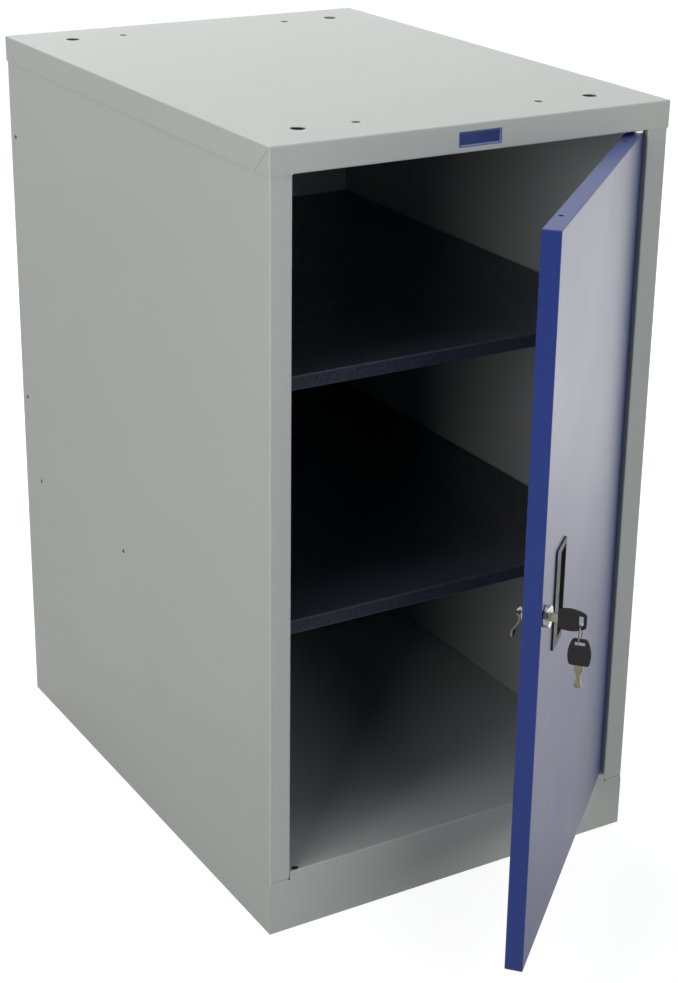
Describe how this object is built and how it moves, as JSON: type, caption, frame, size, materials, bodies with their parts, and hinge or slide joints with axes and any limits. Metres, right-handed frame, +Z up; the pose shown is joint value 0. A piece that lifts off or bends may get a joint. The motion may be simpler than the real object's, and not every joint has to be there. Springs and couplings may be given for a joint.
{
  "type": "tool cabinet",
  "caption": "Narrow, deep steel tool cabinet for under a workbench: hinged door with recessed pull and cam lock, folded shelves, and a drilled top for bolting to a worktop.",
  "frame": {"origin": "middle of the cabinet's footprint, on the ground", "axes": "+Z up; -Y out of the front, where the door is; +X towards the hinges, on the right seen from the front"},
  "size_m": [0.457, 0.9192, 0.835],
  "materials": {
    "case_grey": "light grey powder coat with a fine orange peel",
    "door_blue": "blue powder coat with a fine orange peel",
    "badge_blue": "blue enamel, bare",
    "shelf_navy": "dark navy semi-gloss paint",
    "rivet_steel": "dull zinc-plated steel",
    "pin_steel": "zinc-plated steel",
    "bush_nylon": "natural nylon",
    "black_plastic": "black satin moulded plastic",
    "lock_chrome": "polished chrome",
    "key_nickel": "nickel-plated",
    "key_brass": "pale worn brass"
  },
  "bodies": {
    "cabinet": {"top_panel": "case_grey", "left_side_panel": "case_grey", "right_side_panel": "case_grey", "back_panel": "case_grey", "floor_and_plinth": "case_grey", "upper_shelf": "shelf_navy", "lower_shelf": "shelf_navy", "upper_left_shelf_support": "case_grey", "upper_right_shelf_support": "case_grey", "lower_left_shelf_support": "case_grey", "lower_right_shelf_support": "case_grey", "side_rivets": "rivet_steel", "badge_plate": "badge_blue", "lock_keeper": "case_grey", "upper_hinge_bush": "bush_nylon", "lower_hinge_bush": "bush_nylon"},
    "door": {"door_panel": "door_blue", "upper_hinge_pin": "pin_steel", "lower_hinge_pin": "pin_steel", "recess_handle": "black_plastic", "lock_body": "lock_chrome", "lock_nut": "lock_chrome"},
    "plug": {"lock_plug": "lock_chrome", "lock_cam": "lock_chrome", "cam_screw": "lock_chrome"},
    "key": {"key_blade": "key_nickel", "key_bow": "black_plastic"},
    "ring": {"key_ring": "key_nickel"},
    "spare_key": {"spare_key_blade": "key_brass", "spare_key_bow": "black_plastic"}
  },
  "joints": [
    {"name": "door_hinge", "type": "hinge", "parent": "cabinet", "child": "door", "pos_m": [0.195, -0.3095, 0.4375], "axis": [0, 0, 1], "range_deg": [-42.1, 67.9]},
    {"name": "lock_turn", "type": "hinge", "parent": "door", "child": "plug", "pos_m": [-0.08508, -0.56931, 0.4445], "axis": [-0.6704, 0.742, 0], "range_deg": [0, 90]},
    {"name": "key_slide", "type": "slide", "parent": "plug", "child": "key", "axis": [0.6704, -0.742, 0], "range_m": [0, 0.018]},
    {"name": "ring_swing", "type": "hinge", "parent": "key", "child": "ring", "pos_m": [-0.06249, -0.59432, 0.43757], "axis": [0.6704, -0.742, 0], "range_deg": [-2, 92]},
    {"name": "spare_key_swing", "type": "hinge", "parent": "ring", "child": "spare_key", "pos_m": [-0.06249, -0.59432, 0.42288], "axis": [0.742, 0.6704, 0], "range_deg": [-35, 35]}
  ],
  "couplings": [
    {"joint": "ring_swing", "follows": "lock_turn", "ratio": 1}
  ]
}
